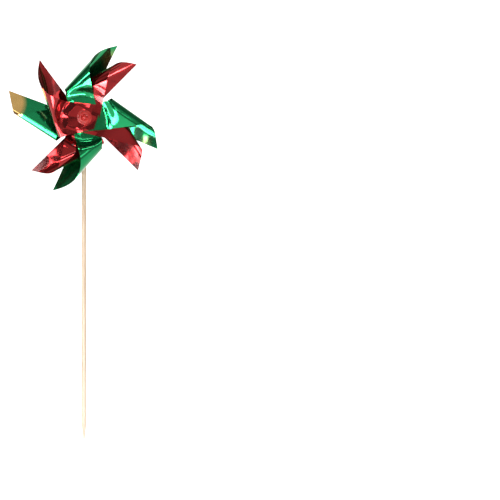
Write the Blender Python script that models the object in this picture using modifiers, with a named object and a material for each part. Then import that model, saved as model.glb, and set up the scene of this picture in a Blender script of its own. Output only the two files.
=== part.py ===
"""Foil pinwheel on a wooden skewer.

Two square foil sheets, one green and one red, are each cut from beside every corner towards the
centre.  The four corners are curled forward and threaded on a wire axle, which leaves four
pointed vanes per sheet.  The axle passes through a drilled birch skewer and is bent over behind.

Frame: origin at the point of the skewer, +Z up the skewer, the face of the pinwheel towards -Y.
"""

import math

import bmesh
import bpy
import numpy as np
from mathutils import Vector

MM = 0.001

# Skewer
STICK_LENGTH = 0.200
STICK_RADIUS = 0.0015
STICK_POINT_LENGTH = 0.010
STICK_POINT_RADIUS = 0.0003
STICK_CHAMFER = 0.00025
STICK_SIDES = 28
STICK_BORE_REACH = 0.003

# Axle: a straight wire along Y at hub height, its rear end bent down behind the skewer
HUB_HEIGHT = 0.194
AXLE_RADIUS = 0.0005
AXLE_REAR_REACH = 0.0026
AXLE_BEND_RADIUS = 0.0012
AXLE_TAIL_LENGTH = 0.0045
AXLE_BEND_STEPS = 6
AXLE_DEPTH_IN_CAP = 0.0009
BORE_RADIUS = 0.0008
BORE_SIDES = 16

# Stack along the axle, as distances in front of the skewer's centre line
BEAD_REAR = 0.0018
BEAD_LENGTH = 0.0034
BEAD_RADIUS = 0.0021
BEAD_ROUND = 0.0005
GREEN_BASE = 0.0058
TUCKED_FLAP = 0.0063
RED_BASE = 0.0068
FLAP_CLEARANCE = 0.0062
FLAP_PITCH = 0.00045
SLEEVE_GAP = 0.0003
SLEEVE_RADIUS = 0.0016
SLEEVE_ROUND = 0.0002
WASHER_RADIUS = 0.0044
WASHER_THICKNESS = 0.0004
WASHER_ROUND = 0.0001
CAP_RADIUS = 0.0033
CAP_THICKNESS = 0.0012
CAP_FRONT_ROUND = 0.0004
CAP_REAR_ROUND = 0.0002
CAP_GROOVE_DEPTH = 0.0003
CAP_GROOVE_INNER = 0.00205
CAP_GROOVE_OUTER = 0.00245
CAP_SIDES = 32
RING_SIDES = 24
NOSE_RADIUS = 0.00135
NOSE_HEIGHT = 0.0013
NOSE_FILLET = 0.0002
NOSE_STEPS = 5
LAYER_GAP = 0.0003

# Foil squares
FILM_THICKNESS = 0.00015
CUT_FROM_CORNER = 0.016
HOLE_INSET = 0.009
WEB_REACH = 0.007
CUT_HALF_WIDTH = 0.00015
PRESS_INNER = 0.0138
PRESS_OUTER = 0.0190
ROLL_STEPS = 12
FLAT_STEPS = 5
ALONG_STEPS = 7

# One entry per vane: direction of its tip in degrees from +X towards +Z, distance from the roll's
# middle to its apex in mm (positive: the roll opens outwards, negative: it narrows outwards),
# roll radius beside the hub in mm, forward lean in degrees, place in the stack of flaps (TUCKED
# lies between the two sheets), and the angle from the tip's own cut at which the film is trimmed
# back, which leaves room for the neighbouring vane of the other sheet to pass.
TUCKED = -1
UNTRIMMED = 90.0
TRIM_REACH = 0.027
GREEN_SHEET = {
    "side": 0.082,
    "base": GREEN_BASE,
    "vanes": [
        (65.5, 22.0, 5.8, 2.0, 5.2, 60.0),
        (160.0, -150.0, 2.7, 2.0, TUCKED, 60.0),
        (247.0, 19.6, 5.4, 7.5, 0.8, 54.0),
        (337.0, -150.0, 5.9, 4.0, 3.5, 60.0),
    ],
}
RED_SHEET = {
    "side": 0.078,
    "base": RED_BASE,
    "vanes": [
        (45.5, 60.0, 4.5, 5.0, 4.3, 78.0),
        (130.5, 17.0, 5.4, 26.0, 6, 82.0),
        (225.5, 60.0, 3.2, 12.0, 0.1, 80.0),
        (315.5, -236.0, 2.9, 5.1, 2.8, 62.0),
    ],
}
FLAP_COUNT = 7

GREEN = (0.01, 0.42, 0.16, 1.0)
RED = (0.55, 0.02, 0.03, 1.0)
CAP_RED = (0.86, 0.10, 0.06, 1.0)
BIRCH = (0.80, 0.66, 0.48, 1.0)
STEEL = (0.62, 0.62, 0.60, 1.0)
MILKY = (0.85, 0.85, 0.82, 1.0)


def clear_scene():
    for obj in list(bpy.data.objects):
        bpy.data.objects.remove(obj, do_unlink=True)


def new_collection(name):
    group = bpy.data.collections.new(name)
    bpy.context.scene.collection.children.link(group)
    return group


def material(name, colour, roughness, metallic):
    mat = bpy.data.materials.new(name)
    mat.use_nodes = True
    shader = mat.node_tree.nodes["Principled BSDF"]
    shader.inputs["Base Color"].default_value = colour
    shader.inputs["Roughness"].default_value = roughness
    shader.inputs["Metallic"].default_value = metallic
    return mat


def add_object(name, mesh, mat, group):
    obj = bpy.data.objects.new(name, mesh)
    mesh.materials.append(mat)
    group.objects.link(obj)
    return obj


def smooth(obj, degrees=40.0):
    obj.data.shade_smooth()
    obj.data.set_sharp_from_angle(angle=math.radians(degrees))


def turned(name, profile, sides, mat, group):
    """Solid of revolution: profile is (radius, height) from top to bottom, axis along local Z."""
    mesh = bpy.data.meshes.new(name)
    bm = bmesh.new()
    verts = [bm.verts.new((radius, 0.0, height)) for radius, height in profile]
    for first, second in zip(verts, verts[1:]):
        bm.edges.new((first, second))
    bm.to_mesh(mesh)
    bm.free()
    obj = add_object(name, mesh, mat, group)
    screw = obj.modifiers.new("Turn", "SCREW")
    screw.axis = "Z"
    screw.steps = sides
    screw.render_steps = sides
    screw.use_merge_vertices = True
    screw.merge_threshold = 0.00001
    screw.use_smooth_shade = True
    return obj


def ring_profile(outer, length, round_edge):
    """Closed profile of a ring bored for the wire, with its two outer corners eased."""
    return [
        (BORE_RADIUS, length),
        (outer - round_edge, length),
        (outer, length - round_edge),
        (outer, round_edge),
        (outer - round_edge, 0.0),
        (BORE_RADIUS, 0.0),
        (BORE_RADIUS, length),
    ]


def face_forward(obj, distance):
    """Lay a turned piece on the axle: its local Z points to -Y from the given distance."""
    obj.rotation_euler = (math.radians(90.0), 0.0, 0.0)
    obj.location = (0.0, -distance, HUB_HEIGHT)


def drill(obj, rear, front, cutters):
    """Cut the round hole for the wire along the axle from y = rear to y = front."""
    mesh = bpy.data.meshes.new(obj.name + "_bore")
    bm = bmesh.new()
    bmesh.ops.create_cone(
        bm,
        cap_ends=True,
        segments=BORE_SIDES,
        radius1=BORE_RADIUS,
        radius2=BORE_RADIUS,
        depth=rear - front,
    )
    bm.to_mesh(mesh)
    bm.free()
    cutter = bpy.data.objects.new(mesh.name, mesh)
    cutter.rotation_euler = (math.radians(90.0), 0.0, 0.0)
    cutter.location = (0.0, (rear + front) / 2.0, HUB_HEIGHT)
    cutter.hide_render = True
    cutter.display_type = "WIRE"
    cutters.objects.link(cutter)
    cut = obj.modifiers.new("Bore", "BOOLEAN")
    cut.operation = "DIFFERENCE"
    cut.solver = "EXACT"
    cut.object = cutter


def flap_distance(level):
    """Distance in front of the skewer's centre of the flap at the given place in the stack."""
    if level == TUCKED:
        return TUCKED_FLAP
    return RED_BASE + FLAP_CLEARANCE + level * FLAP_PITCH


def cap_rear():
    return flap_distance(FLAP_COUNT - 1) + 2.0 * LAYER_GAP + WASHER_THICKNESS + FILM_THICKNESS


def make_stick(group, cutters):
    top = STICK_LENGTH
    profile = [
        (0.0, top),
        (STICK_RADIUS - STICK_CHAMFER, top),
        (STICK_RADIUS, top - STICK_CHAMFER),
        (STICK_RADIUS, STICK_POINT_LENGTH),
        (STICK_POINT_RADIUS, 0.0),
        (0.0, 0.0),
    ]
    wood = material("birch", BIRCH, 0.75, 0.0)
    stick = turned("stick", profile, STICK_SIDES, wood, group)
    drill(stick, STICK_BORE_REACH, -STICK_BORE_REACH, cutters)
    return stick


def make_axle(group):
    """The wire from inside the cap to its bent tail, as one bevelled curve."""
    front = -(cap_rear() + AXLE_DEPTH_IN_CAP)
    bend_start = STICK_RADIUS + AXLE_REAR_REACH - AXLE_BEND_RADIUS
    points = [Vector((0.0, front, 0.0)), Vector((0.0, bend_start, 0.0))]
    for step in range(1, AXLE_BEND_STEPS + 1):
        turn = math.radians(90.0) * step / AXLE_BEND_STEPS
        back = bend_start + AXLE_BEND_RADIUS * math.sin(turn)
        down = AXLE_BEND_RADIUS * (1.0 - math.cos(turn))
        points.append(Vector((0.0, back, -down)))
    points.append(points[-1] - Vector((0.0, 0.0, AXLE_TAIL_LENGTH)))
    curve = bpy.data.curves.new("axle_wire", "CURVE")
    curve.dimensions = "3D"
    curve.bevel_depth = AXLE_RADIUS
    curve.bevel_resolution = 2
    curve.use_fill_caps = True
    spline = curve.splines.new("POLY")
    spline.points.add(len(points) - 1)
    for slot, point in zip(spline.points, points):
        slot.co = (point.x, point.y, point.z, 1.0)
    wire = bpy.data.objects.new("axle_wire", curve)
    curve.materials.append(material("wire", STEEL, 0.3, 1.0))
    group.objects.link(wire)
    wire.location = (0.0, 0.0, HUB_HEIGHT)
    return wire


def make_bead(group):
    profile = ring_profile(BEAD_RADIUS, BEAD_LENGTH, BEAD_ROUND)
    bead = turned("rear_bead", profile, RING_SIDES, material("bead", MILKY, 0.4, 0.0), group)
    face_forward(bead, BEAD_REAR)
    return bead


def make_sleeve(group):
    start = RED_BASE + FILM_THICKNESS / 2.0 + SLEEVE_GAP
    end = flap_distance(0) - FILM_THICKNESS / 2.0 - SLEEVE_GAP
    profile = ring_profile(SLEEVE_RADIUS, end - start, SLEEVE_ROUND)
    sleeve = turned("hub_sleeve", profile, RING_SIDES, material("sleeve", MILKY, 0.35, 0.0), group)
    face_forward(sleeve, start)
    return sleeve


def make_washer(group):
    start = flap_distance(FLAP_COUNT - 1) + FILM_THICKNESS / 2.0 + LAYER_GAP
    profile = ring_profile(WASHER_RADIUS, WASHER_THICKNESS, WASHER_ROUND)
    washer = turned("front_washer", profile, RING_SIDES, material("washer", CAP_RED, 0.3, 0.0), group)
    face_forward(washer, start)
    return washer


def make_cap(group, cutters):
    """Moulded cap: a flat disc with a rounded rim, a sunken ring and a small round nose."""
    profile = [(0.0, CAP_THICKNESS + NOSE_HEIGHT)]
    for step in range(1, NOSE_STEPS + 1):
        turn = math.radians(90.0) * step / NOSE_STEPS
        height = CAP_THICKNESS + NOSE_HEIGHT * math.cos(turn)
        profile.append((NOSE_RADIUS * math.sin(turn), height))
    profile += [
        (NOSE_RADIUS + NOSE_FILLET, CAP_THICKNESS - CAP_GROOVE_DEPTH),
        (CAP_GROOVE_INNER, CAP_THICKNESS - CAP_GROOVE_DEPTH),
        (CAP_GROOVE_OUTER, CAP_THICKNESS),
        (CAP_RADIUS - CAP_FRONT_ROUND, CAP_THICKNESS),
        (CAP_RADIUS, CAP_THICKNESS - CAP_FRONT_ROUND),
        (CAP_RADIUS, CAP_REAR_ROUND),
        (CAP_RADIUS - CAP_REAR_ROUND, 0.0),
        (0.0, 0.0),
    ]
    cap = turned("hub_cap", profile, CAP_SIDES, material("cap", CAP_RED, 0.25, 0.0), group)
    face_forward(cap, cap_rear())
    drill(cap, 0.0, -(cap_rear() + AXLE_DEPTH_IN_CAP + LAYER_GAP), cutters)
    return cap


class SheetPattern:
    """The flat outline of one vane of a cut square, with its hub corner at the origin.

    u runs along the vane's own cut edge to its pointed tip, v along the next cut.  The corner of
    the square that is curled forward lies between them, and its axle hole is inset from both sides.
    """

    def __init__(self, side, trim):
        half = side / 2.0
        offset = half - CUT_FROM_CORNER
        reach = math.hypot(half, offset)
        slope = math.pi - math.atan2(half, offset)
        self.tip = np.array((reach, CUT_HALF_WIDTH))
        corner = np.array((reach, 0.0)) + (half + offset) * np.array((math.cos(slope), math.sin(slope)))
        self.corner = corner
        self.end = np.array((CUT_HALF_WIDTH, reach))
        self.root_tip = np.array((WEB_REACH, CUT_HALF_WIDTH))
        self.root_end = np.array((CUT_HALF_WIDTH, WEB_REACH))
        edge = []
        if trim < UNTRIMMED:
            heading = np.array((math.cos(math.radians(trim)), math.sin(math.radians(trim))))
            self.root_end = heading * (WEB_REACH + CUT_HALF_WIDTH) / heading.sum()
            edge = [heading * TRIM_REACH]
        self.hole = corner * (1.0 - HOLE_INSET * math.sqrt(2.0) / np.linalg.norm(corner))
        self.outline = [self.root_tip, self.tip, self.corner, self.end, *edge, self.root_end]


def turn_about(vector, axis, angle):
    """Rotate a vector about an axis of any length."""
    unit = axis / np.linalg.norm(axis)
    along = unit * np.dot(unit, vector)
    return along + (vector - along) * math.cos(angle) + np.cross(unit, vector) * math.sin(angle)


def sweep(ray, side, curvature, angle):
    """Carry a ruling of a cone on by a flat angle, along a path of constant curvature."""
    spin = np.cross(ray, side) + curvature * ray
    turn = angle * math.hypot(1.0, curvature)
    return turn_about(ray, spin, turn), turn_about(side, spin, turn)


class CurledVane:
    """A vane as film bends: a flat base, a conical roll and a flat flap, unrolled exactly.

    All rulings meet at one apex.  The base, roll and flap take the flat angles in self.spans,
    chosen so that the axle hole of the flap arrives at the hub, a given height over the base.
    """

    def __init__(self, pattern, taper, roll_radius, lean, height):
        self.lean = lean
        self.hinge = np.append((pattern.root_tip + pattern.root_end) / 2.0, 0.0)
        target = self.leaned(np.array((0.0, 0.0, height)), -1.0)
        hole = np.append(pattern.hole, 0.0)
        toward = hole / np.linalg.norm(hole)
        fold = np.array((toward[1], -toward[0], 0.0))
        shift = target - hole
        numerator = np.dot(target, target) - np.dot(hole, hole) + 2.0 * taper * np.dot(fold, shift)
        self.apex = toward * numerator / (2.0 * np.dot(toward, shift)) - taper * fold
        self.turn = math.copysign(1.0, taper)
        self.start = math.atan2(-self.apex[1], -self.apex[0])
        reach = np.linalg.norm(self.apex)
        self.ray = -self.apex / reach
        self.side = np.array((-self.ray[1], self.ray[0], 0.0)) * self.turn
        self.curvature = self.turn * reach / roll_radius
        goal = (target - self.apex) / np.linalg.norm(target - self.apex)
        self.spans = self.solve(goal, self.flat_angle(pattern.hole), math.pi * roll_radius / reach)

    def leaned(self, point, sign=1.0):
        axis = np.array((1.0, -1.0, 0.0))
        return self.hinge + turn_about(point - self.hinge, axis, sign * self.lean)

    def flat_angle(self, point):
        """Angle at the apex from the ruling through the hub, in the flat sheet."""
        away = point - self.apex[:2]
        angle = (math.atan2(away[1], away[0]) - self.start) * self.turn
        return (angle + math.pi / 2.0) % (2.0 * math.pi) - math.pi / 2.0

    def arrive(self, spans):
        ray, side = sweep(self.ray, self.side, 0.0, spans[0])
        ray, side = sweep(ray, side, self.curvature, spans[1])
        return sweep(ray, side, 0.0, spans[2])[0]

    def solve(self, goal, total, roll):
        """Newton's method for the three spans: the path ends at the goal and uses the whole angle."""
        spans = np.array(((total - roll) / 2.0, roll, (total - roll) / 2.0))

        def miss(values):
            gap = self.arrive(values) - goal
            return np.array((np.dot(gap, self.side), gap[2], values.sum() - total))

        step = 1e-7
        for _ in range(40):
            now = miss(spans)
            slope = np.array([(miss(spans + step * axis) - now) / step for axis in np.eye(3)]).T
            change = np.linalg.solve(slope, -now)
            spans = spans + change * min(1.0, 0.1 / max(np.abs(change).max(), 1e-12))
        return spans

    def ruling(self, angle):
        """Direction of the ruling at a flat angle, once the film is curled."""
        ray, side = self.ray, self.side
        parts = (min(angle, self.spans[0]), self.spans[1], angle - self.spans[0] - self.spans[1])
        ray, side = sweep(ray, side, 0.0, parts[0])
        if angle > self.spans[0]:
            ray, side = sweep(ray, side, self.curvature, min(parts[1], angle - self.spans[0]))
        if parts[2] > 0.0:
            ray, side = sweep(ray, side, 0.0, parts[2])
        return ray

    def place(self, angle, distance):
        return self.leaned(self.apex + distance * self.ruling(angle))


def spread(first, last, count):
    return [first + (last - first) * step / count for step in range(1, count)]


def ruling_angles(vane, pattern):
    """Flat angles of all rulings that the mesh follows, from one side of the vane to the other."""
    corners = [vane.flat_angle(point) for point in pattern.outline]
    roll_start = vane.spans[0]
    roll_end = roll_start + vane.spans[1]
    last = max(corners)
    angles = corners + [roll_start, roll_end]
    angles += spread(roll_start, roll_end, ROLL_STEPS)
    angles += spread(roll_end, last, FLAT_STEPS * 2)
    angles += spread(max(corners[0], corners[-1]), roll_start, FLAT_STEPS)
    kept = []
    closest = vane.spans[1] / (ROLL_STEPS * 3.0)
    for angle in sorted(a for a in angles if min(corners) <= a <= last):
        fixed = any(abs(angle - corner) < 1e-9 for corner in corners)
        if kept and angle - kept[-1][0] < closest:
            if fixed and not kept[-1][1]:
                kept[-1] = (angle, fixed)
            elif fixed and angle - kept[-1][0] > 1e-9:
                kept.append((angle, fixed))
            continue
        kept.append((angle, fixed))
    return [angle for angle, _ in kept]


def crossing(vane, pattern, angle):
    """Nearest and farthest distance from the apex at which a ruling crosses the outline."""
    heading = vane.start + vane.turn * angle
    ray = np.array((math.cos(heading), math.sin(heading)))
    found = []
    points = pattern.outline
    for first, second in zip(points, points[1:] + points[:1]):
        edge = second - first
        offset = first - vane.apex[:2]
        scale = ray[0] * edge[1] - ray[1] * edge[0]
        if abs(scale) < 1e-12:
            continue
        distance = (offset[0] * edge[1] - offset[1] * edge[0]) / scale
        share = (offset[0] * ray[1] - offset[1] * ray[0]) / scale
        if -1e-6 <= share <= 1.0 + 1e-6:
            found.append(distance)
    return min(found), max(found)


def pressed(point, height, beyond_roll):
    """Bring a flap level where the cap and washer hold it against the stack."""
    if not beyond_roll:
        return point
    radius = math.hypot(point[0], point[1])
    ease = min(max((PRESS_OUTER - radius) / (PRESS_OUTER - PRESS_INNER), 0.0), 1.0)
    ease = ease * ease * (3.0 - 2.0 * ease)
    return np.array((point[0], point[1], point[2] + (height - point[2]) * ease))


def add_vane(bm, side, base, entry):
    """Mesh one vane, and return its two or more vertices along the root, tip side first."""
    direction, taper, roll_radius, lean, level, trim = entry
    pattern = SheetPattern(side, trim)
    height = flap_distance(level) - base
    vane = CurledVane(pattern, taper * MM, roll_radius * MM, math.radians(lean), height)
    turn = math.radians(direction)
    middle = vane.spans[0] + vane.spans[1] / 2.0
    rows = []
    root = []
    for angle in ruling_angles(vane, pattern):
        near, far = crossing(vane, pattern, angle)
        single = far - near < 1e-6
        row = []
        for step in range(1 if single else ALONG_STEPS + 1):
            distance = near + (far - near) * step / ALONG_STEPS
            u, v, w = pressed(vane.place(angle, distance), height, angle > middle)
            x = u * math.cos(turn) - v * math.sin(turn)
            z = u * math.sin(turn) + v * math.cos(turn)
            vert = bm.verts.new((x, -(base + w), HUB_HEIGHT + z))
            row.append(vert)
            if abs(u + v - WEB_REACH - CUT_HALF_WIDTH) < 1e-6 and angle < middle:
                root.append((v, vert))
        rows.append(row)
    for first, second in zip(rows, rows[1:]):
        stitch(bm, first, second)
    root.sort(key=lambda pair: pair[0])
    return [vert for _, vert in root]


def stitch(bm, first, second):
    """Join two neighbouring rulings with faces, either of which may be a single point."""
    if len(first) == 1 or len(second) == 1:
        point, line = (first[0], second) if len(first) == 1 else (second[0], first)
        for one, two in zip(line, line[1:]):
            bm.faces.new((point, one, two))
        return
    for step in range(len(first) - 1):
        bm.faces.new((first[step], first[step + 1], second[step + 1], second[step]))


def make_sheet(name, sheet, mat, group, cutters):
    """One whole foil: four curled vanes around the uncut web in the middle."""
    mesh = bpy.data.meshes.new(name)
    bm = bmesh.new()
    rim = []
    for entry in sheet["vanes"]:
        rim += add_vane(bm, sheet["side"], sheet["base"], entry)
    centre = bm.verts.new((0.0, -sheet["base"], HUB_HEIGHT))
    for first, second in zip(rim, rim[1:] + rim[:1]):
        bm.faces.new((centre, first, second))
    bmesh.ops.recalc_face_normals(bm, faces=bm.faces)
    bm.to_mesh(mesh)
    bm.free()
    foil = add_object(name, mesh, mat, group)
    skin = foil.modifiers.new("Film", "SOLIDIFY")
    skin.thickness = FILM_THICKNESS
    skin.offset = 0.0
    drill(foil, 0.0, -cap_rear(), cutters)
    smooth(foil)
    return foil


def main():
    clear_scene()
    group = new_collection("pinwheel")
    cutters = new_collection("cutters")
    make_stick(group, cutters)
    make_axle(group)
    make_bead(group)
    make_sleeve(group)
    make_washer(group)
    make_cap(group, cutters)
    green = material("green_film", GREEN, 0.15, 1.0)
    red = material("red_film", RED, 0.15, 1.0)
    make_sheet("green_foil", GREEN_SHEET, green, group, cutters)
    make_sheet("red_foil", RED_SHEET, red, group, cutters)


main()
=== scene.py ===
"""The pinwheel as it looks: curled mirror films, moulded hub and birch skewer, in a pale studio."""

import math

import bmesh
import bpy
import numpy as np
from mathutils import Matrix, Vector


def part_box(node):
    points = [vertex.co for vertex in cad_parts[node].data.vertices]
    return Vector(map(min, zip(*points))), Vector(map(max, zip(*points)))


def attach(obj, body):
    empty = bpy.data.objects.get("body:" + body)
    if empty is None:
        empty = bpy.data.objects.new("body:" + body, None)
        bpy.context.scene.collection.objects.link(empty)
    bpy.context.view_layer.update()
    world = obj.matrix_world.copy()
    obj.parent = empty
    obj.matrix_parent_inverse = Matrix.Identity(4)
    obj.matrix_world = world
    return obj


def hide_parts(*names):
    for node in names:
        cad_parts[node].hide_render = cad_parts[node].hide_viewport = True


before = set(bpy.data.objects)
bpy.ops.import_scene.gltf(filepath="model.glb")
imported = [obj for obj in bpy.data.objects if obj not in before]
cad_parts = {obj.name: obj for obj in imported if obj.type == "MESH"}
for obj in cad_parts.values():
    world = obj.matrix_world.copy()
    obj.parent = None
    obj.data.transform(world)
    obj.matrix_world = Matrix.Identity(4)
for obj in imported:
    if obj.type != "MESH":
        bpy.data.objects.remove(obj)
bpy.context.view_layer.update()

MM = 0.001

STICK_LOW, STICK_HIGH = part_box("stick")
CAP_LOW, CAP_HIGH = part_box("hub_cap")
BEAD_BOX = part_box("rear_bead")
WASHER_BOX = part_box("front_washer")
SLEEVE_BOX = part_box("hub_sleeve")
HUB_HEIGHT = (CAP_LOW[2] + CAP_HIGH[2]) / 2.0
STICK_RADIUS = (STICK_HIGH[0] - STICK_LOW[0]) / 2.0
STICK_TOP = STICK_HIGH[2]
STICK_POINT = 10.0 * MM
STICK_EDGE = 0.25 * MM
WIRE_BORE = 0.8 * MM

# Moulded cap, as heights over its rear face and radii
CAP_DISC = 1.2 * MM
CAP_NOSE = 1.35 * MM
CAP_GROOVE_WIDTH = 0.7 * MM
CAP_GROOVE_DEPTH = 0.32 * MM
CAP_RIM = 0.45 * MM
CAP_REAR_EDGE = 0.2 * MM

# Layers on the axle, as distances in front of the skewer's centre line
GREEN_BASE = 0.0058
TUCKED_FLAP = 0.0063
RED_BASE = 0.0068
FLAP_CLEARANCE = 0.0062
FLAP_PITCH = 0.00045

# Foil squares
FILM_THICKNESS = 0.00011
CUT_FROM_CORNER = 0.016
HOLE_INSET = 0.009
WEB_REACH = 0.007
CUT_HALF_WIDTH = 0.00015
PRESS_INNER = 0.0138
PRESS_OUTER = 0.0190
ROLL_STEPS = 26
FLAT_STEPS = 9
ALONG_STEPS = 22

# One entry per vane: direction of its tip in degrees from +X towards +Z, distance from the roll's
# middle to its apex in mm (positive: the roll opens outwards, negative: it narrows outwards),
# roll radius beside the hub in mm, forward lean in degrees, place in the stack of flaps (TUCKED
# lies between the two sheets), and the angle from the tip's own cut at which the film is trimmed
# back, which leaves room for the neighbouring vane of the other sheet to pass.
TUCKED = -1
UNTRIMMED = 90.0
TRIM_REACH = 0.027
GREEN_SHEET = {
    "side": 0.082,
    "base": GREEN_BASE,
    "vanes": [
        (65.5, 22.0, 5.8, 2.0, 5.2, 60.0),
        (160.0, -150.0, 2.7, 2.0, TUCKED, 60.0),
        (247.0, 19.6, 5.4, 7.5, 0.8, 54.0),
        (337.0, -150.0, 5.9, 4.0, 3.5, 60.0),
    ],
}
RED_SHEET = {
    "side": 0.078,
    "base": RED_BASE,
    "vanes": [
        (45.5, 60.0, 4.5, 5.0, 4.3, 78.0),
        (130.5, 17.0, 5.4, 26.0, 6, 82.0),
        (225.5, 60.0, 3.2, 12.0, 0.1, 80.0),
        (315.5, -236.0, 2.9, 5.1, 2.8, 62.0),
    ],
}



def flap_distance(level):
    """Distance in front of the skewer's centre of the flap at the given place in the stack."""
    if level == TUCKED:
        return TUCKED_FLAP
    return RED_BASE + FLAP_CLEARANCE + level * FLAP_PITCH


class SheetPattern:
    """The flat outline of one vane of a cut square, with its hub corner at the origin.

    u runs along the vane's own cut edge to its pointed tip, v along the next cut.  The corner of
    the square that is curled forward lies between them, and its axle hole is inset from both sides.
    """

    def __init__(self, side, trim):
        half = side / 2.0
        offset = half - CUT_FROM_CORNER
        reach = math.hypot(half, offset)
        slope = math.pi - math.atan2(half, offset)
        self.tip = np.array((reach, CUT_HALF_WIDTH))
        corner = np.array((reach, 0.0)) + (half + offset) * np.array((math.cos(slope), math.sin(slope)))
        self.corner = corner
        self.end = np.array((CUT_HALF_WIDTH, reach))
        self.root_tip = np.array((WEB_REACH, CUT_HALF_WIDTH))
        self.root_end = np.array((CUT_HALF_WIDTH, WEB_REACH))
        edge = []
        if trim < UNTRIMMED:
            heading = np.array((math.cos(math.radians(trim)), math.sin(math.radians(trim))))
            self.root_end = heading * (WEB_REACH + CUT_HALF_WIDTH) / heading.sum()
            edge = [heading * TRIM_REACH]
        self.hole = corner * (1.0 - HOLE_INSET * math.sqrt(2.0) / np.linalg.norm(corner))
        self.outline = [self.root_tip, self.tip, self.corner, self.end, *edge, self.root_end]


def turn_about(vector, axis, angle):
    """Rotate a vector about an axis of any length."""
    unit = axis / np.linalg.norm(axis)
    along = unit * np.dot(unit, vector)
    return along + (vector - along) * math.cos(angle) + np.cross(unit, vector) * math.sin(angle)


def sweep(ray, side, curvature, angle):
    """Carry a ruling of a cone on by a flat angle, along a path of constant curvature."""
    spin = np.cross(ray, side) + curvature * ray
    turn = angle * math.hypot(1.0, curvature)
    return turn_about(ray, spin, turn), turn_about(side, spin, turn)


class CurledVane:
    """A vane as film bends: a flat base, a conical roll and a flat flap, unrolled exactly.

    All rulings meet at one apex.  The base, roll and flap take the flat angles in self.spans,
    chosen so that the axle hole of the flap arrives at the hub, a given height over the base.
    """

    def __init__(self, pattern, taper, roll_radius, lean, height):
        self.lean = lean
        self.hinge = np.append((pattern.root_tip + pattern.root_end) / 2.0, 0.0)
        target = self.leaned(np.array((0.0, 0.0, height)), -1.0)
        hole = np.append(pattern.hole, 0.0)
        toward = hole / np.linalg.norm(hole)
        fold = np.array((toward[1], -toward[0], 0.0))
        shift = target - hole
        numerator = np.dot(target, target) - np.dot(hole, hole) + 2.0 * taper * np.dot(fold, shift)
        self.apex = toward * numerator / (2.0 * np.dot(toward, shift)) - taper * fold
        self.turn = math.copysign(1.0, taper)
        self.start = math.atan2(-self.apex[1], -self.apex[0])
        reach = np.linalg.norm(self.apex)
        self.ray = -self.apex / reach
        self.side = np.array((-self.ray[1], self.ray[0], 0.0)) * self.turn
        self.curvature = self.turn * reach / roll_radius
        goal = (target - self.apex) / np.linalg.norm(target - self.apex)
        self.spans = self.solve(goal, self.flat_angle(pattern.hole), math.pi * roll_radius / reach)

    def leaned(self, point, sign=1.0):
        axis = np.array((1.0, -1.0, 0.0))
        return self.hinge + turn_about(point - self.hinge, axis, sign * self.lean)

    def flat_angle(self, point):
        """Angle at the apex from the ruling through the hub, in the flat sheet."""
        away = point - self.apex[:2]
        angle = (math.atan2(away[1], away[0]) - self.start) * self.turn
        return (angle + math.pi / 2.0) % (2.0 * math.pi) - math.pi / 2.0

    def arrive(self, spans):
        ray, side = sweep(self.ray, self.side, 0.0, spans[0])
        ray, side = sweep(ray, side, self.curvature, spans[1])
        return sweep(ray, side, 0.0, spans[2])[0]

    def solve(self, goal, total, roll):
        """Newton's method for the three spans: the path ends at the goal and uses the whole angle."""
        spans = np.array(((total - roll) / 2.0, roll, (total - roll) / 2.0))

        def miss(values):
            gap = self.arrive(values) - goal
            return np.array((np.dot(gap, self.side), gap[2], values.sum() - total))

        step = 1e-7
        for _ in range(40):
            now = miss(spans)
            slope = np.array([(miss(spans + step * axis) - now) / step for axis in np.eye(3)]).T
            change = np.linalg.solve(slope, -now)
            spans = spans + change * min(1.0, 0.1 / max(np.abs(change).max(), 1e-12))
        return spans

    def ruling(self, angle):
        """Direction of the ruling at a flat angle, once the film is curled."""
        ray, side = self.ray, self.side
        parts = (min(angle, self.spans[0]), self.spans[1], angle - self.spans[0] - self.spans[1])
        ray, side = sweep(ray, side, 0.0, parts[0])
        if angle > self.spans[0]:
            ray, side = sweep(ray, side, self.curvature, min(parts[1], angle - self.spans[0]))
        if parts[2] > 0.0:
            ray, side = sweep(ray, side, 0.0, parts[2])
        return ray

    def place(self, angle, distance):
        return self.leaned(self.apex + distance * self.ruling(angle))


def spread(first, last, count):
    return [first + (last - first) * step / count for step in range(1, count)]


def ruling_angles(vane, pattern):
    """Flat angles of all rulings that the mesh follows, from one side of the vane to the other."""
    corners = [vane.flat_angle(point) for point in pattern.outline]
    roll_start = vane.spans[0]
    roll_end = roll_start + vane.spans[1]
    last = max(corners)
    angles = corners + [roll_start, roll_end]
    angles += spread(roll_start, roll_end, ROLL_STEPS)
    angles += spread(roll_end, last, FLAT_STEPS * 2)
    angles += spread(max(corners[0], corners[-1]), roll_start, FLAT_STEPS)
    kept = []
    closest = vane.spans[1] / (ROLL_STEPS * 3.0)
    for angle in sorted(a for a in angles if min(corners) <= a <= last):
        fixed = any(abs(angle - corner) < 1e-9 for corner in corners)
        if kept and angle - kept[-1][0] < closest:
            if fixed and not kept[-1][1]:
                kept[-1] = (angle, fixed)
            elif fixed and angle - kept[-1][0] > 1e-9:
                kept.append((angle, fixed))
            continue
        kept.append((angle, fixed))
    return [angle for angle, _ in kept]


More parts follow.
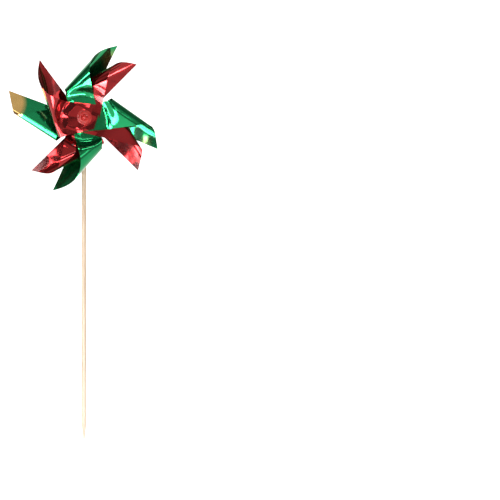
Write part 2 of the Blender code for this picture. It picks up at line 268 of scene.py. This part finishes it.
def crossing(vane, pattern, angle):
    """Nearest and farthest distance from the apex at which a ruling crosses the outline."""
    heading = vane.start + vane.turn * angle
    ray = np.array((math.cos(heading), math.sin(heading)))
    found = []
    points = pattern.outline
    for first, second in zip(points, points[1:] + points[:1]):
        edge = second - first
        offset = first - vane.apex[:2]
        scale = ray[0] * edge[1] - ray[1] * edge[0]
        if abs(scale) < 1e-12:
            continue
        distance = (offset[0] * edge[1] - offset[1] * edge[0]) / scale
        reflection_strength = (offset[0] * ray[1] - offset[1] * ray[0]) / scale
        if -1e-6 <= reflection_strength <= 1.0 + 1e-6:
            found.append(distance)
    return min(found), max(found)


def pressed(point, height, beyond_roll):
    """Bring a flap level where the cap and washer hold it against the stack."""
    if not beyond_roll:
        return point
    radius = math.hypot(point[0], point[1])
    ease = min(max((PRESS_OUTER - radius) / (PRESS_OUTER - PRESS_INNER), 0.0), 1.0)
    ease = ease * ease * (3.0 - 2.0 * ease)
    return np.array((point[0], point[1], point[2] + (height - point[2]) * ease))


def add_vane(bm, side, base, entry):
    """Mesh one vane, and return its two or more vertices along the root, tip side first."""
    direction, taper, roll_radius, lean, level, trim = entry
    pattern = SheetPattern(side, trim)
    height = flap_distance(level) - base
    vane = CurledVane(pattern, taper * MM, roll_radius * MM, math.radians(lean), height)
    turn = math.radians(direction)
    middle = vane.spans[0] + vane.spans[1] / 2.0
    rows = []
    root = []
    for angle in ruling_angles(vane, pattern):
        near, far = crossing(vane, pattern, angle)
        single = far - near < 1e-6
        row = []
        for step in range(1 if single else ALONG_STEPS + 1):
            distance = near + (far - near) * step / ALONG_STEPS
            u, v, w = pressed(vane.place(angle, distance), height, angle > middle)
            x = u * math.cos(turn) - v * math.sin(turn)
            z = u * math.sin(turn) + v * math.cos(turn)
            vert = bm.verts.new((x, -(base + w), HUB_HEIGHT + z))
            row.append(vert)
            if abs(u + v - WEB_REACH - CUT_HALF_WIDTH) < 1e-6 and angle < middle:
                root.append((v, vert))
        rows.append(row)
    for first, second in zip(rows, rows[1:]):
        stitch(bm, first, second)
    root.sort(key=lambda pair: pair[0])
    return [vert for _, vert in root]


def stitch(bm, first, second):
    """Join two neighbouring rulings with faces, either of which may be a single point."""
    if len(first) == 1 or len(second) == 1:
        point, line = (first[0], second) if len(first) == 1 else (second[0], first)
        for one, two in zip(line, line[1:]):
            bm.faces.new((point, one, two))
        return
    for step in range(len(first) - 1):
        bm.faces.new((first[step], first[step + 1], second[step + 1], second[step]))


def make_sheet(name, sheet, mat, node):
    """One whole foil: four curled vanes around the uncut web, standing for its CAD node."""
    mesh = bpy.data.meshes.new(name)
    bm = bmesh.new()
    rim = []
    for entry in sheet["vanes"]:
        rim += add_vane(bm, sheet["side"], sheet["base"], entry)
    centre = bm.verts.new((0.0, -sheet["base"], HUB_HEIGHT))
    for first, second in zip(rim, rim[1:] + rim[:1]):
        bm.faces.new((centre, first, second))
    bmesh.ops.recalc_face_normals(bm, faces=bm.faces)
    bm.to_mesh(mesh)
    bm.free()
    mesh.materials.append(mat)
    foil = bpy.data.objects.new(name, mesh)
    bpy.context.scene.collection.objects.link(foil)
    mesh.shade_smooth()
    skin = foil.modifiers.new("Film", "SOLIDIFY")
    skin.thickness = FILM_THICKNESS
    skin.offset = 0.0
    bpy.context.view_layer.update()
    solid = bpy.data.meshes.new_from_object(foil.evaluated_get(bpy.context.evaluated_depsgraph_get()))
    foil.modifiers.clear()
    foil.data = solid
    solid.name = name
    solid.shade_smooth()
    solid.set_sharp_from_angle(angle=math.radians(50.0))
    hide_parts(node)
    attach(foil, "rotor")
    return foil


class Nodes:
    """A small helper for building a material's node tree."""

    def __init__(self, name):
        self.mat = bpy.data.materials.new(name)
        self.mat.use_nodes = True
        self.tree = self.mat.node_tree
        self.shader = self.tree.nodes["Principled BSDF"]

    def add(self, kind, **values):
        node = self.tree.nodes.new(kind)
        for key, value in values.items():
            if key in node.inputs:
                node.inputs[key].default_value = value
            else:
                setattr(node, key, value)
        return node

    def link(self, start, end):
        self.tree.links.new(start, end)

    def coords(self, scale=(1.0, 1.0, 1.0)):
        where = self.add("ShaderNodeTexCoord")
        move = self.add("ShaderNodeMapping")
        move.inputs["Scale"].default_value = scale
        self.link(where.outputs["Object"], move.inputs["Vector"])
        return move.outputs["Vector"]

    def noise(self, vector, scale, detail=3.0, rough=0.5):
        tex = self.add("ShaderNodeTexNoise", Scale=scale, Detail=detail, Roughness=rough)
        self.link(vector, tex.inputs["Vector"])
        return tex.outputs["Fac"]

    def ramp(self, fac, *stops):
        node = self.add("ShaderNodeValToRGB")
        elements = node.color_ramp.elements
        while len(elements) < len(stops):
            elements.new(0.5)
        for element, (place, colour) in zip(elements, stops):
            element.position = place
            element.color = (*colour, 1.0)
        self.link(fac, node.inputs["Fac"])
        return node.outputs["Color"]

    def bump(self, height, strength, distance):
        node = self.add("ShaderNodeBump", Strength=strength, Distance=distance)
        self.link(height, node.inputs["Height"])
        return node.outputs["Normal"]


# Painted reflection colour: the tan of the metal mirroring a bright softbox
PAINTED_TAN_REFLECTION = (0.66, 0.42, 0.14)
# Places on the green film where a tan reflection of a bright softbox in the metal is painted into the
# colour: x and z from the hub, inner and outer distance of the fade, all in mm, and how strong the
# painted reflection is
GREEN_PAINTED_REFLECTIONS = (
    (-46.0, 9.0, 9.0, 12.0, 1.0),
    (37.0, -14.0, 1.5, 4.5, 0.2),
    (18.0, 34.0, 2.0, 8.0, 0.4),
)


def near(n, where, x, z, inner, outer, most=1.0):
    """Mask that is highest within the inner distance of a place on the vanes, and 0 past the outer."""
    flat = n.add("ShaderNodeVectorMath", operation="MULTIPLY")
    n.link(where, flat.inputs[0])
    flat.inputs[1].default_value = (1.0, 0.0, 1.0)
    apart = n.add("ShaderNodeVectorMath", operation="DISTANCE")
    n.link(flat.outputs["Vector"], apart.inputs[0])
    apart.inputs[1].default_value = (x * MM, 0.0, HUB_HEIGHT + z * MM)
    fade = n.add("ShaderNodeMapRange")
    fade.inputs["From Min"].default_value = outer * MM
    fade.inputs["From Max"].default_value = inner * MM
    fade.inputs["To Max"].default_value = most
    n.link(apart.outputs["Value"], fade.inputs["Value"])
    return fade.outputs["Result"]


def film_material(name, deep, bright, reflection_tint, reflection_patches, crease_depth):
    """Metallised film: a tinted mirror with soft dents, creases round the hub, and fine scuffs.

    In a few patches on its front faces a tan reflection of a bright softbox in the metal is painted
    into the colour.
    """
    n = Nodes(name)
    where = n.coords()
    colour = n.ramp(n.noise(where, 60.0), (0.3, deep), (0.7, bright))
    sides = n.add("ShaderNodeSeparateXYZ")
    n.link(n.add("ShaderNodeTexCoord").outputs["Normal"], sides.inputs["Vector"])
    front = n.add("ShaderNodeMath", operation="LESS_THAN")
    n.link(sides.outputs["Y"], front.inputs[0])
    front.inputs[1].default_value = 0.0
    # Painted reflection: each patch mixes the tan reflection colour into the base colour, on front
    # faces only
    for x, z, inner, outer, reflection_strength in reflection_patches:
        mix = n.add("ShaderNodeMix", data_type="RGBA")
        face = n.add("ShaderNodeMath", operation="MULTIPLY")
        n.link(near(n, where, x, z, inner, outer, reflection_strength), face.inputs[0])
        n.link(front.outputs["Value"], face.inputs[1])
        n.link(face.outputs["Value"], mix.inputs["Factor"])
        n.link(colour, mix.inputs[6])
        mix.inputs[7].default_value = (*reflection_tint, 1.0)
        colour = mix.outputs[2]
    n.link(colour, n.shader.inputs["Base Color"])
    fine = n.noise(n.coords((1.0, 1.0, 0.4)), 900.0, 4.0, 0.6)
    rough = n.add("ShaderNodeMapRange")
    rough.inputs["To Min"].default_value = 0.03
    rough.inputs["To Max"].default_value = 0.10
    n.link(fine, rough.inputs["Value"])
    n.link(rough.outputs["Result"], n.shader.inputs["Roughness"])
    creases = n.add("ShaderNodeTexVoronoi", Scale=85.0)
    n.link(where, creases.inputs["Vector"])
    folds = n.add("ShaderNodeMath", operation="MULTIPLY")
    n.link(creases.outputs["Distance"], folds.inputs[0])
    folds.inputs[1].default_value = crease_depth
    crumple = n.add("ShaderNodeMath", operation="MULTIPLY")
    n.link(folds.outputs["Value"], crumple.inputs[0])
    n.link(near(n, where, -5.0, 0.0, 7.0, 19.0), crumple.inputs[1])
    relief = n.add("ShaderNodeMath", operation="ADD")
    n.link(n.noise(where, 55.0, 1.5, 0.4), relief.inputs[0])
    n.link(crumple.outputs["Value"], relief.inputs[1])
    n.link(n.bump(relief.outputs["Value"], 0.55, 0.0014), n.shader.inputs["Normal"])
    n.shader.inputs["Metallic"].default_value = 0.88
    n.shader.inputs["Coat Weight"].default_value = 0.2
    n.shader.inputs["Coat Roughness"].default_value = 0.06
    return n.mat


def wood_material():
    """Birch: pale, with long thin fibres, a few darker streaks and a slightly furry grain."""
    n = Nodes("birch_wood")
    fibre = n.noise(n.coords((900.0, 900.0, 28.0)), 1.0, 5.0, 0.65)
    streak = n.noise(n.coords((320.0, 320.0, 9.0)), 1.0, 2.0, 0.5)
    mix = n.add("ShaderNodeMath", operation="MULTIPLY")
    n.link(fibre, mix.inputs[0])
    n.link(streak, mix.inputs[1])
    colour = n.ramp(
        mix.outputs["Value"],
        (0.10, (0.46, 0.32, 0.20)),
        (0.22, (0.66, 0.51, 0.37)),
        (0.40, (0.80, 0.66, 0.52)),
    )
    n.link(colour, n.shader.inputs["Base Color"])
    n.link(n.bump(fibre, 0.5, 0.0001), n.shader.inputs["Normal"])
    n.shader.inputs["Roughness"].default_value = 0.62
    return n.mat


def plastic_material(name, first, second, roughness):
    """Moulded plastic: even colour with faint flow marks and a barely dimpled gloss."""
    n = Nodes(name)
    where = n.coords()
    n.link(n.ramp(n.noise(where, 260.0), (0.3, first), (0.7, second)), n.shader.inputs["Base Color"])
    n.link(n.bump(n.noise(where, 700.0), 0.12, 0.0001), n.shader.inputs["Normal"])
    n.shader.inputs["Roughness"].default_value = roughness
    n.shader.inputs["Specular IOR Level"].default_value = 0.2
    return n.mat


def steel_material():
    """Drawn steel wire with fine lines along its length."""
    n = Nodes("drawn_wire")
    lines = n.noise(n.coords((2500.0, 60.0, 2500.0)), 1.0, 3.0)
    grey = n.ramp(lines, (0.3, (0.42, 0.42, 0.41)), (0.7, (0.72, 0.72, 0.70)))
    n.link(grey, n.shader.inputs["Base Color"])
    n.link(n.bump(lines, 0.2, 0.00005), n.shader.inputs["Normal"])
    n.shader.inputs["Metallic"].default_value = 1.0
    n.shader.inputs["Roughness"].default_value = 0.28
    return n.mat


def turned(name, profile, sides, mat):
    """Solid of revolution of a (radius, height) profile about local Z, as a finished mesh."""
    mesh = bpy.data.meshes.new(name)
    bm = bmesh.new()
    rings = []
    for radius, height in profile:
        if radius < 1e-7:
            rings.append([bm.verts.new((0.0, 0.0, height))])
            continue
        ring = []
        for step in range(sides):
            turn = 2.0 * math.pi * step / sides
            ring.append(bm.verts.new((radius * math.cos(turn), radius * math.sin(turn), height)))
        rings.append(ring)
    for first, second in zip(rings, rings[1:]):
        for step in range(sides):
            after = (step + 1) % sides
            corners = [first[step % len(first)], second[step % len(second)]]
            corners += [second[after % len(second)], first[after % len(first)]]
            bm.faces.new(list(dict.fromkeys(corners)))
    bmesh.ops.recalc_face_normals(bm, faces=bm.faces)
    bm.to_mesh(mesh)
    bm.free()
    mesh.materials.append(mat)
    mesh.shade_smooth()
    mesh.set_sharp_from_angle(angle=math.radians(38.0))
    obj = bpy.data.objects.new(name, mesh)
    bpy.context.scene.collection.objects.link(obj)
    return obj


def face_forward(obj, distance):
    """Lay a turned piece on the axle: its local Z points to -Y from the given distance."""
    obj.rotation_euler = (math.radians(90.0), 0.0, 0.0)
    obj.location = (0.0, -distance, HUB_HEIGHT)


def rounded(radius, height, edge, steps):
    """Profile of an outer edge that is rounded from the flat above it down to the side."""
    turns = [math.radians(90.0) * step / steps for step in range(steps + 1)]
    return [(radius - edge + edge * math.sin(t), height - edge + edge * math.cos(t)) for t in turns]


def make_cap(mat):
    """The moulded cap with rounded rim, sunken ring and nose, in fine steps."""
    rear = -CAP_HIGH[1]
    length = CAP_HIGH[1] - CAP_LOW[1]
    radius = (CAP_HIGH[0] - CAP_LOW[0]) / 2.0
    profile = []
    for step in range(11):
        turn = math.radians(9.0 * step)
        profile.append((CAP_NOSE * math.sin(turn), CAP_DISC + (length - CAP_DISC) * math.cos(turn)))
    for step in range(1, 9):
        turn = math.radians(180.0) * step / 8
        across = CAP_NOSE + CAP_GROOVE_WIDTH * step / 8
        profile.append((across, CAP_DISC - CAP_GROOVE_DEPTH * math.sin(turn)))
    profile += rounded(radius, CAP_DISC, CAP_RIM, 8)
    profile += [(radius, CAP_REAR_EDGE), (radius - CAP_REAR_EDGE, 0.0), (0.0, 0.0)]
    cap = turned("cap_shell", profile, 72, mat)
    face_forward(cap, rear)
    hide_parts("hub_cap")
    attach(cap, "holder")


def make_skewer(mat):
    """The skewer: barely out of round, sanded edge at the top, and a knife-turned point."""
    profile = [(0.0, STICK_TOP), *rounded(STICK_RADIUS, STICK_TOP, STICK_EDGE, 4)]
    rows = 60
    straight = STICK_TOP - STICK_POINT - STICK_EDGE
    for step in range(1, rows + 1):
        profile.append((STICK_RADIUS, STICK_TOP - STICK_EDGE - straight * step / rows))
    tip = 0.3 * MM
    for step in range(1, 17):
        reflection_strength = step / 16
        profile.append((STICK_RADIUS + (tip - STICK_RADIUS) * reflection_strength, STICK_POINT * (1.0 - reflection_strength)))
    profile.append((0.0, 0.0))
    skewer = turned("skewer", profile, 48, mat)
    for vert in skewer.data.vertices:
        x, y, z = vert.co
        turn = math.atan2(y, x)
        dent = 0.012 * math.sin(3.0 * turn + 40.0 * z) + 0.008 * math.sin(7.0 * turn - 90.0 * z)
        if z < STICK_POINT:
            dent += 0.05 * math.sin(8.0 * turn) * (1.0 - z / STICK_POINT)
        vert.co.x = x * (1.0 - 0.02 - dent)
        vert.co.y = y * (1.0 - 0.02 - dent)
    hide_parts("stick")
    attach(skewer, "holder")


def make_ring(name, box, edge, mat, node, body):
    """A turned ring on the axle with rounded edges, standing for its CAD node."""
    low, high = box
    outer = (high[0] - low[0]) / 2.0
    length = high[1] - low[1]
    profile = [(WIRE_BORE, length), *rounded(outer, length, edge, 6)]
    for step in range(7):
        turn = math.radians(90.0) * step / 6
        profile.append((outer - edge + edge * math.cos(turn), edge - edge * math.sin(turn)))
    profile += [(WIRE_BORE, 0.0), (WIRE_BORE, length)]
    ring = turned(name, profile, 56, mat)
    face_forward(ring, -high[1])
    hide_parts(node)
    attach(ring, body)


def area_light(name, place, aim, size, power, shiny_only=False):
    """A softbox; a shiny-only one is a reflector card that shows in the films and lights nothing."""
    lamp = bpy.data.lights.new(name, "AREA")
    lamp.shape = "RECTANGLE"
    lamp.size = size[0]
    lamp.size_y = size[1]
    lamp.energy = power
    obj = bpy.data.objects.new(name, lamp)
    obj.location = place
    obj.rotation_euler = (Vector(aim) - Vector(place)).to_track_quat("-Z", "Y").to_euler()
    obj.visible_diffuse = not shiny_only
    obj.visible_camera = not shiny_only
    bpy.context.scene.collection.objects.link(obj)


def make_backdrop():
    """A seamless pale sweep: floor just below the skewer's point, curving up far behind it."""
    mesh = bpy.data.meshes.new("sweep")
    bm = bmesh.new()
    floor, radius, back, top = -0.03, 0.8, 3.2, 3.0
    path = [(-3.4, floor), (back - radius, floor)]
    for step in range(1, 13):
        turn = math.radians(90.0) * step / 12
        path.append((back - radius + radius * math.sin(turn), floor + radius - radius * math.cos(turn)))
    path.append((back, top))
    rows = [[bm.verts.new((x, y, z)) for x in (-3.6, 3.6)] for y, z in path]
    for first, second in zip(rows, rows[1:]):
        bm.faces.new((first[0], first[1], second[1], second[0]))
    bm.to_mesh(mesh)
    bm.free()
    mesh.shade_smooth()
    n = Nodes("paper_sweep")
    tone = n.ramp(n.noise(n.coords(), 3.0), (0.3, (0.90, 0.90, 0.90)), (0.7, (0.93, 0.93, 0.93)))
    n.link(tone, n.shader.inputs["Base Color"])
    n.shader.inputs["Roughness"].default_value = 0.9
    n.shader.inputs["Emission Color"].default_value = (1.0, 1.0, 1.0, 1.0)
    n.shader.inputs["Emission Strength"].default_value = 0.80
    mesh.materials.append(n.mat)
    sweep = bpy.data.objects.new("sweep", mesh)
    bpy.context.scene.collection.objects.link(sweep)


def make_world():
    """A dim room round the studio, with darker and warmer patches that the mirror films pick up."""
    world = bpy.data.worlds.new("studio")
    world.use_nodes = True
    bpy.context.scene.world = world
    tree = world.node_tree
    background = tree.nodes["Background"]
    where = tree.nodes.new("ShaderNodeTexCoord")
    reflection_patches = tree.nodes.new("ShaderNodeTexNoise")
    reflection_patches.inputs["Scale"].default_value = 1.7
    reflection_patches.inputs["Detail"].default_value = 1.0
    tree.links.new(where.outputs["Generated"], reflection_patches.inputs["Vector"])
    ramp = tree.nodes.new("ShaderNodeValToRGB")
    elements = ramp.color_ramp.elements
    elements.new(0.5)
    elements.new(0.6)
    stops = (
        (0.36, (0.10, 0.10, 0.10)),
        (0.46, (0.26, 0.24, 0.22)),
        (0.54, (0.46, 0.43, 0.39)),
        (0.64, (0.70, 0.70, 0.70)),
    )
    for element, (place, colour) in zip(elements, stops):
        element.position = place
        element.color = (*colour, 1.0)
    tree.links.new(reflection_patches.outputs["Fac"], ramp.inputs["Fac"])
    tree.links.new(ramp.outputs["Color"], background.inputs["Color"])
    background.inputs["Strength"].default_value = 1.0


# Camera: turn from the axle, distance, width seen at the hub, and how far the middle of the view
# lies to the right of the hub and below it
VIEW_YAW = math.radians(4.5)
VIEW_DISTANCE = 1.6
VIEW_WIDTH = 0.2985
VIEW_RIGHT = 0.0988
VIEW_BELOW = 0.0794


def make_camera():
    """Level, long-lens view from slightly left of the axle; the object is left of the middle."""
    data = bpy.data.cameras.new("camera")
    data.sensor_width = 36.0
    data.lens = 36.0 * VIEW_DISTANCE / VIEW_WIDTH
    camera = bpy.data.objects.new("camera", data)
    ahead = Vector((math.sin(VIEW_YAW), math.cos(VIEW_YAW), 0.0))
    right = Vector((math.cos(VIEW_YAW), -math.sin(VIEW_YAW), 0.0))
    hub = Vector((0.0, CAP_LOW[1], HUB_HEIGHT))
    aside = right * VIEW_RIGHT - Vector((0.0, 0.0, VIEW_BELOW))
    camera.location = hub + aside - ahead * VIEW_DISTANCE
    camera.rotation_euler = ahead.to_track_quat("-Z", "Y").to_euler()
    bpy.context.scene.collection.objects.link(camera)
    bpy.context.scene.camera = camera


# Reflector cards: name, centre, and width and height; all are equally bright and face the hub
CARD_GLOW = 26.0
REFLECTOR_CARDS = (
    ("card_floor_left", (-0.17, -0.12, -0.025), (0.16, 0.16)),
    ("card_floor_far", (-0.33, -0.52, -0.025), (0.24, 0.26)),
    ("card_floor_front", (0.05, -0.31, -0.025), (0.16, 0.14)),
    ("card_low", (-0.25, -0.95, 0.08), (0.16, 0.15)),
    ("card_edge", (-0.088, -1.0, 0.21), (0.044, 0.22)),
    ("card_high", (-0.042, -0.91, 0.60), (0.028, 0.03)),
    ("card_side", (0.62, -1.1, 0.02), (0.40, 0.16)),
    ("card_floor_mid", (-0.16, -0.29, -0.025), (0.16, 0.18)),
    ("card_floor_near", (-0.17, -0.85, -0.025), (0.14, 0.18)),
)


def make_lights():
    """Key from the left, weak fill, top and front strip, and the cards that the films mirror."""
    hub = (0.0, -0.01, HUB_HEIGHT)
    area_light("key", (-1.05, -0.60, 0.65), hub, (0.28, 0.36), 7.0)
    area_light("fill", (0.95, -0.8, 0.30), hub, (0.10, 0.6), 0.5)
    area_light("top", (0.15, -0.35, 1.15), hub, (0.6, 0.16), 3.0)
    area_light("front_strip", (0.25, -1.5, 0.75), hub, (0.5, 0.10), 1.6)
    for name, place, size in REFLECTOR_CARDS:
        power = CARD_GLOW * math.pi * size[0] * size[1]
        area_light(name, place, hub, size, power, True)


def main():
    bpy.context.scene.view_settings.view_transform = "Standard"
    deep, bright = (0.001, 0.17, 0.052), (0.004, 0.25, 0.08)
    green = film_material("green_mirror_film", deep, bright, PAINTED_TAN_REFLECTION, GREEN_PAINTED_REFLECTIONS, 0.6)
    deep, bright = (0.21, 0.007, 0.008), (0.30, 0.013, 0.014)
    red = film_material("red_mirror_film", deep, bright, PAINTED_TAN_REFLECTION, (), 1.7)
    make_sheet("green_film_sheet", GREEN_SHEET, green, "green_foil")
    make_sheet("red_film_sheet", RED_SHEET, red, "red_foil")
    cap_red = plastic_material("cap_plastic", (0.38, 0.016, 0.014), (0.48, 0.026, 0.020), 0.25)
    milky = plastic_material("milky_plastic", (0.80, 0.80, 0.76), (0.88, 0.88, 0.85), 0.35)
    make_cap(cap_red)
    make_skewer(wood_material())
    make_ring("washer_ring", WASHER_BOX, 0.12 * MM, cap_red, "front_washer", "rotor")
    make_ring("sleeve_tube", SLEEVE_BOX, 0.2 * MM, milky, "hub_sleeve", "rotor")
    make_ring("bead_ring", BEAD_BOX, 0.55 * MM, milky, "rear_bead", "bead")
    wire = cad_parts["axle_wire"]
    wire.data.materials.clear()
    wire.data.materials.append(steel_material())
    make_backdrop()
    make_world()
    make_camera()
    make_lights()


main()
